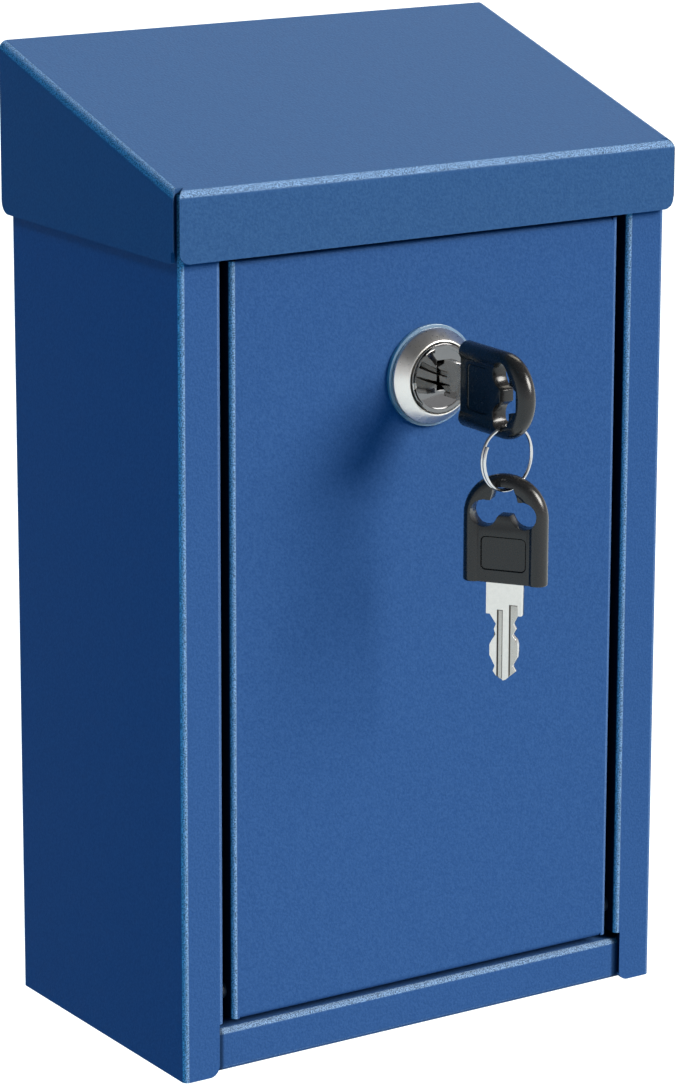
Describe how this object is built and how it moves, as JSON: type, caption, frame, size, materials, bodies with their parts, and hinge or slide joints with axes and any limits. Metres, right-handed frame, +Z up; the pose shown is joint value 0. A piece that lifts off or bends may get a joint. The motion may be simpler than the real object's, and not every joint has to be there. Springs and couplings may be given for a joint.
{
  "type": "wall-mounted mailbox",
  "caption": "Folded sheet-steel mailbox with a sloping lift-up lid over a deposit slot, a drop-down front door with a cam lock, and keys on a split ring.",
  "frame": {"origin": "centre of the rectangle of wall fixing holes, on the wall plane that the rear bosses rest against", "axes": "+Y into the wall, +Z up, +X to the right seen from the front; the door faces -Y"},
  "size_m": [0.134, 0.1171, 0.226],
  "materials": {
    "blue_paint": "fine textured powder coat",
    "chrome": "satin chrome",
    "bright_steel": "bright nickel",
    "zinc_steel": "zinc plated",
    "brass": "stamped",
    "key_plastic": "satin moulded",
    "nylon": "plain",
    "clear_plastic": "translucent"
  },
  "bodies": {
    "box": {"body_shell": "blue_paint", "bottom_pan": "blue_paint", "slot_plate": "blue_paint", "catch_plate": "blue_paint", "lid_hinge_rod": "zinc_steel", "hinge_rivet_left": "zinc_steel", "hinge_rivet_right": "zinc_steel", "hinge_spacer_left": "nylon", "hinge_spacer_right": "nylon"},
    "lid": {"lid_cover": "blue_paint", "lid_ear_left": "blue_paint", "lid_ear_right": "blue_paint"},
    "door": {"door_panel": "blue_paint", "lock_gasket": "clear_plastic", "lock_housing": "chrome", "lock_tooth_washer": "zinc_steel", "lock_nut": "zinc_steel"},
    "plug": {"lock_plug": "chrome", "lock_wafers": "brass", "lock_stop_washer": "zinc_steel", "lock_cam": "zinc_steel", "cam_screw": "zinc_steel"},
    "key": {"key_head": "key_plastic", "key_blade": "bright_steel"},
    "ring": {"split_ring": "bright_steel"},
    "spare_key": {"spare_key_head": "key_plastic", "spare_key_blade": "bright_steel"}
  },
  "joints": [
    {"name": "lid_hinge", "type": "hinge", "parent": "box", "child": "lid", "pos_m": [0, -0.0085, 0.11508], "axis": [-1, 0, 0], "range_deg": [0, 80]},
    {"name": "door_hinge", "type": "hinge", "parent": "box", "child": "door", "pos_m": [0, -0.0735, -0.0865], "axis": [1, 0, 0], "range_deg": [0, 124]},
    {"name": "plug_turn", "type": "hinge", "parent": "door", "child": "plug", "pos_m": [0, -0.0782, 0.0498], "axis": [0, 1, 0], "range_deg": [0, 90]},
    {"name": "key_slide", "type": "slide", "parent": "plug", "child": "key", "axis": [0, -1, 0], "range_m": [-0.0024, 0.0165]},
    {"name": "ring_swing", "type": "hinge", "parent": "key", "child": "ring", "pos_m": [0, -0.1082, 0.04398], "axis": [0.9848, 0.1736, 0], "range_deg": [-60, 10]},
    {"name": "spare_key_swing", "type": "hinge", "parent": "ring", "child": "spare_key", "pos_m": [0, -0.1082, 0.02948], "axis": [0.9848, 0.1736, 0], "range_deg": [-40, 10]}
  ]
}
